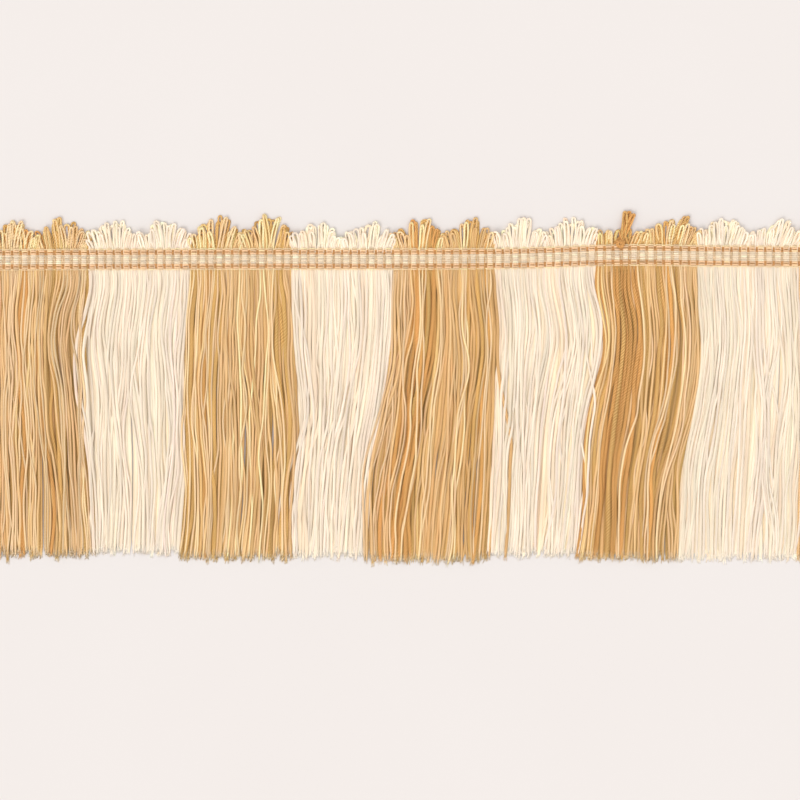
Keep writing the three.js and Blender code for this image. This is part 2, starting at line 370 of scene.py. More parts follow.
# Shares count across a block, and out and back are the depths between which a strand moves.
CROSSINGS = [
    dict(block=5, shares=(0.90, 1.0), by=3.2, out=(4, 30), back=(48, 85)),
    dict(block=0, shares=(0.72, 0.94), by=-3.4, out=(6, 26), back=(30, 62)),
    dict(block=1, shares=(0.0, 0.14), by=-2.2, out=(20, 48), back=(60, 100)),
    dict(block=4, shares=(0.55, 0.72), by=2.6, out=(10, 50), back=(70, 110)),
]


def wave(depth, high, along):
    """A sine of about that height and length, with luck in both."""
    return rng.normal(0, high) * np.sin(depth / rng.uniform(*along) + rng.uniform(*ANY_PHASE))


def leg_line(block, share, radius, freedom, start_x):
    """Flat line of one leg from its place at the tape's edge to its cut tip, in short even steps."""
    tip = SKIRT_DEPTH[block] - TAIL_ROOM + rng.normal(0, TIP_UNEVEN)
    depth = np.arange(TAPE_HALF, tip, STEP)
    below = depth - TAPE_HALF
    lock_freed = smooth_step((below - LOCK_FREE_FROM) / LOCK_FREE_OVER) * freedom
    freed = smooth_step(below / YARN_FREE_OVER) * freedom
    lock = min(locks[block], key=lambda k: abs(k["at"] - share + rng.normal(0, NEAREST_LOCK_NOISE)))
    x = across_block(block, share, depth)
    middle = across_block(block, lock["at"], depth)
    swell = np.sin(depth / lock["along"] + lock["start"])
    gather = lock["gather"] * (1 - GATHER_SWELL + GATHER_SWELL * swell)
    x = x + (middle - x) * gather * lock_freed
    x = x + lock["drift"] * smooth_step((depth - lock["leaves"]) / lock["over"]) * freedom
    for sine in lock["sines"]:
        x = x + sine["high"] * lock_freed * np.sin(depth / sine["along"] + sine["start"])
    light = FINE_RADIUS / radius
    x = x + freed * light * sum(wave(depth, **w) for w in OWN_WAVES)
    x = x + rng.normal(0, TIP_SPREAD) * (depth / tip) ** TIP_CURVE * freedom
    if rng.random() < STRAY["share"] * light * freedom:
        by, leaves = rng.normal(0, STRAY["by"]), rng.uniform(*STRAY["leaves"])
        x = x + by * smooth_step((depth - leaves) / rng.uniform(*STRAY["over"]))
    for row in CROSSINGS:
        if row["block"] == block and row["shares"][0] <= share <= row["shares"][1]:
            (leaves, there), (turns, home) = row["out"], row["back"]
            away = smooth_step((depth - leaves) / (there - leaves))
            away = away - smooth_step((depth - turns) / (home - turns))
            x = x + row["by"] * rng.uniform(*CROSSING_SHARE) * away * freedom
    x = x + (start_x - x[0]) * np.clip(1 - below / SPREAD_OVER, 0, 1) ** 2
    y = tape_middle(start_x) * np.clip(1 - below / LEVEL_OVER, 0, 1) - depth
    return np.column_stack([x, y])


print("a leg has about", len(leg_line(0, 0.5, 0.5, 1, -167)), "steps")

# %% [markdown]
# The loops stand above the tape in scallops, two to a block. Six ribs make one: the middle
# ones stand tallest and the outer ones lean away, as a fan does. In the seventh block the
# cords of two ribs stand above the rest, gathered into one bundle that leans to the right.

# %% A loop above the tape
VALLEY = 5.8
SCALLOP_PLACES = [0.0, 0.14, 0.30, 0.42, 0.52, 0.60, 0.70, 0.86, 1.0]
SCALLOP_RISE = [0.0, 0.24, 0.46, 0.84, 1.0, 0.88, 0.50, 0.22, 0.0]
SCALLOP_LEAN = [-16, -13, -9, -4, 0, 5, 11, 15, 18]
SCALLOPS = [
    dict(peak=13.5, lean=0), dict(peak=14.9, lean=0), dict(peak=13.5, lean=-1),
    dict(peak=13.3, lean=0), dict(peak=14.9, lean=1), dict(peak=15.9, lean=-1),
    dict(peak=12.6, lean=0), dict(peak=12.3, lean=2), dict(peak=14.9, lean=0),
    dict(peak=14.0, lean=1), dict(peak=14.0, lean=3), dict(peak=13.0, lean=6),
    dict(peak=9.0, lean=8), dict(peak=13.5, lean=8), dict(peak=12.8, lean=10),
    dict(peak=12.6, lean=14), dict(peak=13.2, lean=14),
]
RISE_NOISE, LEAN_NOISE, UNEVEN = 0.06, 4.5, 1.2
LOWERED = {BED: 1.3, TOP: 0.0}
ROUND_TOP = {BED: (0.75, 1.05), TOP: (0.5, 0.75)}
LOOSE_LOOPS, LOOSENED = 0.15, (0.2, 0.6)
SHORT_LOOPS, SHORTENED = 0.3, (0.6, 0.88)
SIDE_CURL = 0.008
OPENS_BY = 1.2
BUNDLE = dict(ribs=(74, 75), at=94.8, peak=15.0, uneven=2.4, lean=15, spread=2, gathered=5)
LOOP_STEP = 0.3
RISE_STEPS, TURN_STEPS = 24, 13


def way_along(line):
    """How far each point of a line lies from its start, measured along it."""
    return np.concatenate([[0], np.cumsum(np.linalg.norm(np.diff(line, axis=0), axis=1))])


def loop_line(rib, start_x, end_x, layer):
    """Flat line of one loop, from where it leaves the tape to where it goes back in."""
    scallop = SCALLOPS[rib // RIBS_PER_SCALLOP]
    middle = (start_x + end_x) / 2
    place = (middle - LEFT) / RIB_PITCH / RIBS_PER_SCALLOP % 1
    rise = np.interp(place, SCALLOP_PLACES, SCALLOP_RISE) + rng.normal(0, RISE_NOISE)
    height = VALLEY + (scallop["peak"] - VALLEY) * rise - LOWERED[layer] - rng.uniform(0, UNEVEN)
    lean = np.interp(place, SCALLOP_PLACES, SCALLOP_LEAN) + scallop["lean"] + rng.normal(0, LEAN_NOISE)
    if layer == TOP and rng.random() < SHORT_LOOPS:
        height *= rng.uniform(*SHORTENED)
    curl = rng.normal(0, SIDE_CURL)
    in_bundle = rib in BUNDLE["ribs"] and layer == TOP
    if in_bundle:
        height = BUNDLE["peak"] - rng.uniform(0, BUNDLE["uneven"])
        lean = BUNDLE["lean"] + rng.normal(0, BUNDLE["spread"])
    round_top = rng.uniform(*ROUND_TOP[layer])
    if rng.random() < LOOSE_LOOPS:
        round_top += rng.uniform(*LOOSENED)
    rising = np.linspace(0, 1, RISE_STEPS, endpoint=False)
    turn = np.linspace(math.pi, 0, TURN_STEPS)
    opening = smooth_step(rising * OPENS_BY)
    across = np.concatenate([-opening, np.cos(turn), opening[::-1]]) * round_top
    straight = height - round_top
    up = rising * straight
    along = np.concatenate([up, straight + np.sin(turn) * round_top, up[::-1]])
    narrow = np.clip(1 - along / straight, 0, 1)
    side = np.concatenate([np.full(RISE_STEPS, start_x - middle),
                           np.linspace(start_x, end_x, TURN_STEPS) - middle,
                           np.full(RISE_STEPS, end_x - middle)])
    x = middle + side * narrow + across + along * math.tan(math.radians(lean)) + curl * along**2
    if in_bundle:
        x = x + (BUNDLE["at"] - middle) * smooth_step(along / BUNDLE["gathered"])
    line = np.column_stack([x, tape_middle(middle) + TAPE_HALF + along])
    travelled = way_along(line)
    even = np.arange(0, travelled[-1], LOOP_STEP)
    return np.column_stack([np.interp(even, travelled, line[:, k]) for k in (0, 1)])


print("a loop has about", len(loop_line(3, -179, -177, TOP)), "steps")

# %% [markdown]
# ## Lay every yarn
# Each rib holds five hairpins, so ten legs, which lie in two levels of five inside the tape.
# First all the lines are drawn. Then they are laid, the bed before the yarns on top, and
# those in order of how high their kind lies, with some luck mixed in. The legs that leave
# the tape's lower level come first among them, so that none of them has to break out
# through a neighbour just below the tape.

# %% Draw the hairpins
PAIRS = [(0, 6), (2, 8), (1, 5), (3, 7), (4, 9)]
LAYERS = [BED, BED, TOP, TOP, TOP]
BUNDLE_KINDS = {(1, 5): "amber cord", (3, 7): "golden cord", (4, 9): "amber cord"}
COLUMN_PITCH = 0.56
EDGE_PITCH = 0.76
SIZE_SPREAD, LOOP_SIZE_SPREAD = (0.9, 1.1), (0.88, 1.12)
TONE_SPREAD, TINT_SPREAD = {"tan": 0.03, "cream": 0.014}, 0.004
IN_LOOP = {BED: (0.62, 0.34), TOP: (0.47, 0.34)}


def column_x(rib, leg, pitch):
    """Where a leg passes the tape, in columns that are a pitch apart."""
    return LEFT + (rib + 0.5) * RIB_PITCH + (leg // 2 - 2) * pitch


hairpins = []
for rib in range(RIBS):
    block = rib // RIBS_PER_BLOCK
    colour = "tan" if block % 2 == 0 else "cream"
    for pair, layer in zip(PAIRS, LAYERS):
        kind = pick_yarn(block, layer)
        if rib in BUNDLE["ribs"] and layer == TOP:
            kind = next(k for k in YARNS["tan", TOP] if k["kind"] == BUNDLE_KINDS[pair])
        size = rng.uniform(*SIZE_SPREAD)
        wide, high = kind["wide"] * size, kind["high"] * size
        place = (rib - block * RIBS_PER_BLOCK + (np.array(pair) + 0.5) / LEGS_PER_RIB) / ribs_in(block)
        freedom = 1 if layer == TOP else BED_FREEDOM
        start_x, end_x = column_x(rib, pair[0], EDGE_PITCH), column_x(rib, pair[1], EDGE_PITCH)
        legs = [leg_line(block, share, wide, freedom, x) for share, x in zip(place, (start_x, end_x))]
        in_loop = np.array(IN_LOOP[layer]) * rng.uniform(*LOOP_SIZE_SPREAD)
        loop = loop_line(rib, start_x, end_x, layer)
        tone = kind["tone"] * rng.normal(1, TONE_SPREAD[colour], 1) * rng.normal(1, TINT_SPREAD, 3)
        hairpins.append(dict(rib=rib, block=block, colour=colour, layer=layer, pair=pair,
                             kind=kind, radius=wide, high=high, in_loop=in_loop,
                             legs=legs, loop=loop, tone=tone))
print(len(hairpins), "hairpins")

# %% Lay them down
LUCK, BED_LUCK = 0.62, 0.4

waiting = []
for number, hairpin in enumerate(hairpins):
    for part in ("leg 0", "leg 1", "loop"):
        luck = rng.uniform(0, LUCK)
        if hairpin["layer"] == BED:
            order = number % len(PAIRS) / 2 + rng.uniform(0, BED_LUCK)
        elif part != "loop" and hairpin["pair"][int(part[-1])] % 2 == 0:
            order = TOP
        else:
            order = TOP + (hairpin["kind"]["lies"] + luck) / 2
        waiting.append((order, number, part))
for _, number, part in sorted(waiting):
    hairpin = hairpins[number]
    if part == "loop":
        line, (wide, high), press = hairpin["loop"], hairpin["in_loop"], PRESS["loop"]
    else:
        end, press = int(part[-1]), PRESS[hairpin["colour"]]
        line, wide, high = hairpin["legs"][end], hairpin["radius"], hairpin["high"]
        if hairpin["layer"] == TOP:
            line = slide_into_grooves(line, wide, high, press)
            hairpin["legs"][end] = line
    hairpin[part + " height"] = lay_down(line, wide, high, press)
usual = surface[surface > 0].mean()
print(f"the pile is {surface.max():.2f} mm thick at most, {usual:.2f} mm on average")

# %% [markdown]
# ## From lines to yarn
# A tube is a ring of points carried along the line. Two maps go with it: the twist map runs
# round and along each yarn, so that the plies can be drawn on it, and the flat map gives
# each yarn a strip of its own. The yarn's own tone is kept on its points, and in its fourth
# channel how dark the painted shade in the grooves between its plies is. The flanks of a
# yarn get a painted shade as well: less light reaches them, and that through the yarn's
# neighbours, so they are coloured warmer and deeper than the crest.

# %% Build one mesh out of many tubes
UP = np.array([0.0, 0.0, 1.0])
# Painted shade on the flanks of the yarns: down the sides of a tube its tone is multiplied by these, on
# the crest it is kept.
PAINTED_FLANK_SHADE = {"tan": (0.93, 0.86, 0.69), "cream": (1.0, 0.990, 0.960), "tape": (0.97, 0.93, 0.86)}


def linear(rgb):
    """A colour as the eye reads it, turned into the light that the renderer works with."""
    rgb = np.array(rgb, float)
    return np.where(rgb <= 0.04045, rgb / 12.92, ((rgb + 0.055) / 1.055) ** 2.4)


def new_bundle():
    return dict(points=[], faces=[], twist=[], flat=[], tones=[], count=0)


def add_tube(bundle, path, radius, tone, flank_shade, sides, kind, strip):
    """Adds a closed tube of one kind of yarn along path, with its half width and half height at
    each point, its tone, the painted shade on its flanks and a strip (left, bottom, right, top)
    of the flat map."""
    ahead = np.gradient(path, axis=0)
    ahead /= np.linalg.norm(ahead, axis=1, keepdims=True)
    side = np.cross(ahead, UP)
    side /= np.linalg.norm(side, axis=1, keepdims=True)
    lift = np.cross(side, ahead)
    angle = math.pi / 2 + np.arange(sides) * 2 * math.pi / sides
    across = side[:, None] * np.cos(angle)[None, :, None] * radius[:, 0, None, None]
    upward = lift[:, None] * np.sin(angle)[None, :, None] * radius[:, 1, None, None]
    points = (path[:, None] + across + upward).reshape(-1, 3)
    points[:, 2] = np.maximum(points[:, 2], 0)

    rings = len(path)
    ring, spoke = np.meshgrid(np.arange(rings - 1), np.arange(sides), indexing="ij")
    ring, spoke = ring.ravel(), spoke.ravel()
    after = (spoke + 1) % sides
    faces = np.column_stack([ring * sides + spoke, ring * sides + after,
                             (ring + 1) * sides + after, (ring + 1) * sides + spoke])
    travelled = way_along(path)
    u = np.stack([spoke, spoke + 1, spoke + 1, spoke], axis=1) / sides
    v = np.stack([travelled[ring], travelled[ring], travelled[ring + 1], travelled[ring + 1]], axis=1)
    twist = np.stack([u * kind["plies"], v / kind["crossing"]], axis=2)
    left, bottom, right, top = strip
    flat = np.stack([left + (right - left) * u, bottom + (top - bottom) * v / travelled[-1]], axis=2)

    rim = np.arange(sides)
    caps = [rim[::-1], rim + (rings - 1) * sides]
    cap_flat = np.column_stack([left + (right - left) * rim / sides, np.full(sides, bottom)])

    bundle["faces"] += (faces + bundle["count"]).tolist() + [(c + bundle["count"]).tolist() for c in caps]
    bundle["points"].append(points)
    bundle["twist"] += [twist.reshape(-1, 2), np.zeros((2 * sides, 2))]
    bundle["flat"] += [flat.reshape(-1, 2), cap_flat, cap_flat]
    # Painted shade: full tone on the crest, the flank factors down the sides.
    crest = np.clip(np.sin(angle), 0, 1)[None, :, None]
    tone = np.broadcast_to(np.asarray(tone, float), (rings, 3))[:, None]
    tone = tone * (crest + (1 - crest) * np.asarray(flank_shade))
    # How dark the painted shade in the ply grooves is, kept in the tone's fourth channel.
    groove_shades = np.full((rings * sides, 1), kind["groove"])
    bundle["tones"].append(np.hstack([tone.reshape(-1, 3), groove_shades]))
    bundle["count"] += len(points)


def make_piece(name, bundle, material, slot, *nodes):
    """One object out of a bundle of tubes, which stands for the given nodes of the part."""
    mesh = bpy.data.meshes.new(name)
    mesh.from_pydata(np.vstack(bundle["points"]) * MM, [], bundle["faces"])
    for layer, key in (("twist", "twist"), ("OFBake", "flat")):
        places = np.vstack(bundle[key]).ravel().astype(np.float32)
        mesh.uv_layers.new(name=layer).data.foreach_set("uv", places)
    tones = np.vstack(bundle["tones"])
    colours = np.column_stack([linear(np.clip(tones[:, :3], 0, 1)), tones[:, 3]])
    kept_tone = mesh.color_attributes.new("tone", "FLOAT_COLOR", "POINT")
    kept_tone.data.foreach_set("color", colours.ravel())
    mesh.polygons.foreach_set("use_smooth", np.ones(len(mesh.polygons), bool))
    mesh.uv_layers.active_index = 0
    mesh.materials.append(material)
    piece = bpy.data.objects.new(name, mesh)
    bpy.context.scene.collection.objects.link(piece)
    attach(piece, "root")
    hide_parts(*nodes)
    print(f"{name}: {sum(len(p.vertices) - 2 for p in mesh.polygons)} triangles")


print("tubes are ready")

# %% [markdown]
# ## Nodes in code
# A material is a small network of nodes, which can be drawn by hand or written down. In
# code it can be built three times over with other values, as three kinds of yarn need.

# %% Node helpers
def add_node(tree, kind, inputs=(), **settings):
    """A new node with its settings, its sockets filled or linked by name or number."""
    node = tree.nodes.new(kind)
    for key, value in settings.items():
        setattr(node, key, value)
    for key, value in dict(inputs).items():
        if isinstance(value, bpy.types.NodeSocket):
            tree.links.new(value, node.inputs[key])
        else:
            node.inputs[key].default_value = value
    return node


def math_node(tree, operation, a, b=0.5):
    return add_node(tree, "ShaderNodeMath", {0: a, 1: b}, operation=operation).outputs[0]


def multiplied(tree, a, b):
    """The product of two colours, or of a colour and a value."""
    return add_node(tree, "ShaderNodeVectorMath", {0: a, 1: b}, operation="MULTIPLY").outputs[0]


def range_node(tree, value, low, high):
    """Turns a value from 0 to 1 into one from low to high, which may be sockets too."""
    inputs = {"Value": value, "To Min": low, "To Max": high}
    return add_node(tree, "ShaderNodeMapRange", inputs).outputs["Result"]


print("node helpers are ready")

# %% [markdown]
# ## Yarn as a material
# Spun cotton is matt, with a soft bloom where light grazes it. The plies cross its face as
# slanting ridges with grooves between them. A sine across both directions of the twist map
# draws them, as bumps and as painted shade in the grooves, which costs nothing at render
# time and follows every bend. Light in a groove has bounced from yarn to yarn and picked up
# their colour, so the painted groove shade is a warm brown and not simply grey. Noise stands
# for the loose fibres.

# %% The three yarn materials
# Painted shade: the warm brown that the base colour darkens towards in the grooves between the plies.
GROOVE_SHADE_TINT = (0.50, 0.34, 0.15)
WOBBLE, RIDGE_POWER = 0.7, 0.6
FIBRE_SHADE = (0.84, 1.17)


def yarn_material(name, groove_shade_share, ply_depth, sheen, sheen_tint):
    """Matt twisted yarn that takes its colour from the tone kept on its points, with painted
    shade in the grooves between its plies.
    """
    material = bpy.data.materials.new(name)
    material.use_nodes = True
    tree = material.node_tree
    shader = tree.nodes["Principled BSDF"]
    tone = add_node(tree, "ShaderNodeAttribute", attribute_name="tone")
    twist = add_node(tree, "ShaderNodeUVMap", uv_map="twist").outputs["UV"]
    around = add_node(tree, "ShaderNodeSeparateXYZ", {0: twist})
    uneven = add_node(tree, "ShaderNodeTexNoise", {"Vector": twist, "Scale": 0.6, "Detail": 1.0})
    wobble = math_node(tree, "MULTIPLY", uneven.outputs["Fac"], WOBBLE)
    straight = math_node(tree, "ADD", around.outputs["X"], around.outputs["Y"])
    slant = math_node(tree, "ADD", straight, wobble)
    wave = math_node(tree, "SINE", math_node(tree, "MULTIPLY", slant, 2 * math.pi))
    swell = range_node(tree, math_node(tree, "MULTIPLY_ADD", wave, 0.5), 0.0, 1.0)
    ridge = math_node(tree, "POWER", swell, RIDGE_POWER)
    along_ply = math_node(tree, "MULTIPLY", around.outputs["Y"], 0.5)
    across_ply = math_node(tree, "MULTIPLY", slant, 4.0)
    fibre_place = add_node(tree, "ShaderNodeCombineXYZ", {"X": across_ply, "Y": along_ply}).outputs[0]
    fibre = add_node(tree, "ShaderNodeTexNoise", {"Vector": fibre_place, "Scale": 1.6, "Detail": 4.0})
    # Painted shade: in the grooves between the plies the base colour is darkened towards that warm brown,
    # as far as the tone's fourth channel and the material's share say.
    groove = math_node(tree, "MULTIPLY", tone.outputs["Alpha"], groove_shade_share)
    open_to_light = range_node(tree, ridge, math_node(tree, "SUBTRACT", 1.0, groove), 1.0)
    tints = {"Factor": open_to_light, "A": (*GROOVE_SHADE_TINT, 1), "B": (1, 1, 1, 1)}
    tint = add_node(tree, "ShaderNodeMix", tints, data_type="RGBA").outputs["Result"]
    shade = range_node(tree, fibre.outputs["Fac"], *FIBRE_SHADE)
    colour = multiplied(tree, multiplied(tree, tone.outputs["Color"], tint), shade)
    tree.links.new(colour, shader.inputs["Base Color"])
    tree.links.new(range_node(tree, fibre.outputs["Fac"], 0.95, 0.75), shader.inputs["Roughness"])
    relief = math_node(tree, "ADD", ridge, math_node(tree, "MULTIPLY", fibre.outputs["Fac"], 0.7))
    bump_in = {"Height": relief, "Strength": 1.0, "Distance": ply_depth * MM}
    bump = add_node(tree, "ShaderNodeBump", bump_in)
    tree.links.new(bump.outputs["Normal"], shader.inputs["Normal"])
    shader.inputs["Sheen Weight"].default_value = sheen
    shader.inputs["Sheen Roughness"].default_value = 0.6
    shader.inputs["Sheen Tint"].default_value = (*linear(sheen_tint), 1)
    shader.inputs["Specular IOR Level"].default_value = 0.1
    shader.inputs["Diffuse Roughness"].default_value = 1.0
    return material


tan_yarn = yarn_material("tan_yarn", groove_shade_share=0.56, ply_depth=0.16, sheen=0.15,
                         sheen_tint=(1.0, 0.85, 0.65))
cream_yarn = yarn_material("cream_yarn", groove_shade_share=0.12, ply_depth=0.06, sheen=0.2,
                           sheen_tint=(1.0, 0.95, 0.86))
tape_yarn = yarn_material("tape_weave", groove_shade_share=0.30, ply_depth=0.06, sheen=0.1,
                          sheen_tint=(1.0, 0.93, 0.84))
print("materials:", [m.name for m in (tan_yarn, cream_yarn, tape_yarn)])

# %% [markdown]
# ## The cut tips
# Where the skirt is cut, each yarn opens into loose ends that look a little paler. Five
# thin tapered tails fan out from the end of every leg. They could be grown as particles, but
# as tubes of the same mesh they take the yarn's own tone and stay part of the mesh.

# %% Fray a tip
TAILS = 5
TAIL_LENGTH = (0.2, 2.0)
TAIL_OVERLAP = 1.6
TAIL_STEPS = np.linspace(0, 1, 4)
TAIL_TAPER = np.array([1.0, 1.0, 0.85, 0.45])
TAIL_WIDE, TAIL_HIGH = 0.22, 0.45
TAIL_FAN, FAN_NOISE = 0.55, 0.1
TAIL_BEND, BEND_NOISE = 0.05, 0.03
TAIL_DROOP, TAIL_LOWEST = 0.6, 0.15
TAIL_YARN = dict(plies=1, crossing=2.0, groove=0.3)
# The tails get no painted shade on their flanks.
NO_PAINTED_FLANK_SHADE = (1, 1, 1)
BLEACHED, TAIL_TONE_SPREAD = 0.30, 0.02


def fray(bundle, path, hairpin, strips):
    """Adds the tails of one cut tip, where path ends."""
    tip = path[-1]
    ahead = path[-1] - path[-3]
    ahead = ahead / np.linalg.norm(ahead)
    sideways = np.array([-ahead[1], ahead[0], 0])
    pale = hairpin["tone"] + (1 - hairpin["tone"]) * BLEACHED
    for tail in range(TAILS):
        place = (2 * tail / (TAILS - 1) - 1) * TAIL_FAN + rng.normal(0, FAN_NOISE)
        length = rng.uniform(*TAIL_LENGTH)
        start = tip - ahead * TAIL_OVERLAP + sideways * place * hairpin["radius"]
        along = TAIL_STEPS[:, None] * (length + TAIL_OVERLAP)
        bend = place * TAIL_BEND + rng.normal(0, BEND_NOISE)
        curve = start + along * ahead + along**2 * bend * sideways
        droop = TAIL_STEPS * rng.uniform(0, TAIL_DROOP) * tip[2]
        curve[:, 2] = np.maximum(curve[:, 2] - droop, TAIL_LOWEST)
        thick = TAIL_TAPER[:, None] * [hairpin["radius"] * TAIL_WIDE, hairpin["high"] * TAIL_HIGH]
        tone = pale * rng.normal(1, TAIL_TONE_SPREAD)
        add_tube(bundle, curve, thick, tone, NO_PAINTED_FLANK_SHADE, 3, TAIL_YARN, next(strips))


print(TAILS, "tails to a tip")

# %% [markdown]
# ## Hairpins into pieces
# Both legs, the two passes through the tape and the loop become one long path. Inside the
# tape the yarn is squeezed, and just outside it sinks from the tape's level to the pile. At
# the cut tips the pile is lower, because nothing holds it up there. The loops are a little
# paler than the skirt, as they are on the real trim.

# %% Join a hairpin's parts
LEVELS = (1.0, 1.75)
INSIDE_TAPE = (-3.2, 0, 3.2)
SQUEEZED, THICKEST_IN_TAPE = 0.68, 0.36
SINKING = 4.0
TIP_SINKS, TIP_HIGH, TIP_RUN = 0.5, 0.3, 18.0
STATION, LOOP_STATION, TURN_POINTS = 7, 4, 6
FREE_FROM, FREE_ABOVE, FREE_BELOW = 1.0, 3.5, 6.5
SLUB, SLUB_RATE, TIP_THIN = 0.05, (0.5, 0.9), 0.45
TONE_WAVE, TONE_RATE = 0.025, (0.2, 0.5)
PALER_LOOPS = {
    ("tan", BED): 0.12,
    ("tan", TOP): 0.06,
    ("cream", BED): 0.05,
    ("cream", TOP): 0.03,
}


def thin_out(points, spacing):
    """Every spacing-th point, more or less, but always the first and the last."""
    count = max(2, round(len(points) / spacing))
    return points[np.linspace(0, len(points) - 1, count).round().astype(int)]


def thin_out_loop(points):
    """Every point round the turn and few along the two straight sides."""
    start, end = len(points) // 2 - TURN_POINTS, len(points) // 2 + TURN_POINTS
    return np.vstack([thin_out(points[:start], LOOP_STATION), points[start:end],
                      thin_out(points[end:], LOOP_STATION)])


def sunk(line, height, level):
    """A part's points, with a soft slope from the tape's level to the pile near its ends."""
    near = np.abs(line[:, 1] - tape_middle(line[:, 0])) - TAPE_HALF
    return np.column_stack([line, level + (height - level) * smooth_step(near / SINKING)])


def flattened(path):
    """How much of the pile's height is left, which is less near the two cut tips."""
    half = np.arange(len(path)) < len(path) / 2
    from_tip = path[:, 1] - np.where(half, path[0, 1], path[-1, 1])
    return 1 - TIP_SINKS * smooth_step(1 - from_tip / TIP_RUN)


def hairpin_path(hairpin):
    """The whole path, tip to tip, with the half width, half height and tone along it."""
    levels = [LEVELS[leg % 2] for leg in hairpin["pair"]]
    skirts = []
    for end, (leg, level) in enumerate(zip(hairpin["pair"], levels)):
        x = column_x(hairpin["rib"], leg, COLUMN_PITCH)
        skirt = sunk(hairpin["legs"][end], hairpin[f"leg {end} height"], level)
        inside = [(x, tape_middle(x) + y, level) for y in INSIDE_TAPE]
        skirts.append(np.vstack([thin_out(skirt, STATION)[::-1], inside]))
    loop = hairpin["loop"]
    over = thin_out_loop(sunk(loop, hairpin["loop height"], np.linspace(*levels, len(loop))))
    path = np.vstack([skirts[0], over, skirts[1][::-1]])
    flat = flattened(path)
    path[:, 2] *= flat
    above = path[:, 1] - tape_middle(path[:, 0])
    ramp = np.where(above > 0, FREE_ABOVE, FREE_BELOW)
    free = np.clip((np.abs(above) - TAPE_HALF + FREE_FROM) / ramp, 0, 1)
    station = np.arange(len(path))
    slub = 1 + SLUB * np.sin(station * rng.uniform(*SLUB_RATE) + rng.uniform(*ANY_PHASE))
    slub[[0, -1]] *= TIP_THIN
    full = np.where((above > 0)[:, None], hairpin["in_loop"], [hairpin["radius"], hairpin["high"]])
    squeezed = np.minimum(full * SQUEEZED, THICKEST_IN_TAPE)
    thick = (squeezed + (full - squeezed) * free[:, None]) * slub[:, None]
    thick[:, 1] *= TIP_HIGH + (1 - TIP_HIGH) * flat
    paler = 1 + PALER_LOOPS[hairpin["colour"], hairpin["layer"]] * np.clip(above / TAPE_HALF, 0, 1)
    paler *= 1 + TONE_WAVE * np.sin(station * rng.uniform(*TONE_RATE) + rng.uniform(*ANY_PHASE))
    return path, thick, hairpin["tone"] * paler[:, None]


print("a hairpin's legs sink over", SINKING, "mm")

# %% [markdown]
# ## A slipped cord
# Beside the tall bundle of loops one golden cord has slipped out of the weave and lies
# curled up over the tape's upper edge. A spiral that climbs a little as it winds inwards
# draws it, with two points of lead that come down from the loops. It is a single accident,
# so its place is given and not left to luck.

# %% A curl over the tape
CURL = dict(node="fringe_tan_7", x=94.3, y=6.8, turns=2.2, outer=1.9, inner=0.6, low=3.3, high=4.5)
CURL_YARN = dict(wide=0.46, high=0.36, plies=4, crossing=1.15, groove=1.6, tone=(0.96, 0.76, 0.50))
CURL_STARTS, CURL_POINTS = 60, 34
CURL_LEAD, CURL_END = [(-0.2, 5.5, 2.4), (0.2, 3.8, 2.9)], (-0.1, -0.5)


def add_curl(bundle, strip):
    """The curl: out of the bundle of loops, down over the tape and round."""
    t = np.linspace(0, 1, CURL_POINTS)
    angle = math.radians(CURL_STARTS) - t * CURL["turns"] * 2 * math.pi
    reach = CURL["outer"] + (CURL["inner"] - CURL["outer"]) * t
    coil = np.column_stack([CURL["x"] + reach * np.cos(angle), CURL["y"] + reach * np.sin(angle),
                            CURL["low"] + (CURL["high"] - CURL["low"]) * t])
    lead = [(CURL["x"] + x, CURL["y"] + y, z) for x, y, z in CURL_LEAD]
    end = [(CURL["x"], CURL["y"] + CURL_END[0], CURL["high"] + CURL_END[1])]
    path = smooth_curve(np.vstack([lead, coil[::2], end]), steps=2)
    thick = np.tile([CURL_YARN["wide"], CURL_YARN["high"]], (len(path), 1))
    add_tube(bundle, path, thick, CURL_YARN["tone"], PAINTED_FLANK_SHADE["tan"], 6, CURL_YARN, strip)


print("a curl of", CURL["turns"], "turns")

# %% [markdown]
# ## One piece for each block
# A thousand objects would be slow to draw and awkward to pick, so all the yarn of a colour
# block becomes one mesh, in place of that block's solid. Thick yarns have six sides and
# fine ones five, which is enough for yarns a few pixels wide.

# %% Make one piece for each block
THICK = 0.80
TAIL_BAND = 0.1
SIDE_MARGIN, END_MARGIN = 0.08, 0.05


def strips_for(count, bottom, top, rows=1):
    """Even strips of the flat map between two heights, each with a margin."""
    per_row = math.ceil(count / rows)
    wide, high = 1 / per_row, (top - bottom) / rows
    for k in range(count):
        left, low = (k % per_row) * wide, bottom + (k // per_row) * high
        aside, above = SIDE_MARGIN * wide, END_MARGIN * high
        yield left + aside, low + above, left + wide - aside, low + high - above


for number, node in enumerate(BLOCKS):
    mine = [h for h in hairpins if h["block"] == number]
    colour = "tan" if "tan" in node else "cream"
    bundle = new_bundle()
    long_strips = strips_for(len(mine) + 1, TAIL_BAND, 1.0)
    tail_strips = strips_for(len(mine) * 2 * TAILS, 0.0, TAIL_BAND, rows=4)
    for hairpin in mine:
        path, radius, tone = hairpin_path(hairpin)
        sides = 6 if hairpin["radius"] > THICK else 5
        add_tube(bundle, path, radius, tone, PAINTED_FLANK_SHADE[colour], sides, hairpin["kind"], next(long_strips))
        fray(bundle, path, hairpin, tail_strips)
        fray(bundle, path[::-1], hairpin, tail_strips)
    if node == CURL["node"]:
        add_curl(bundle, next(long_strips))
    name = node.replace("fringe", "yarns")
    make_piece(name, bundle, tan_yarn if colour == "tan" else cream_yarn, f"{colour}_yarn", node)
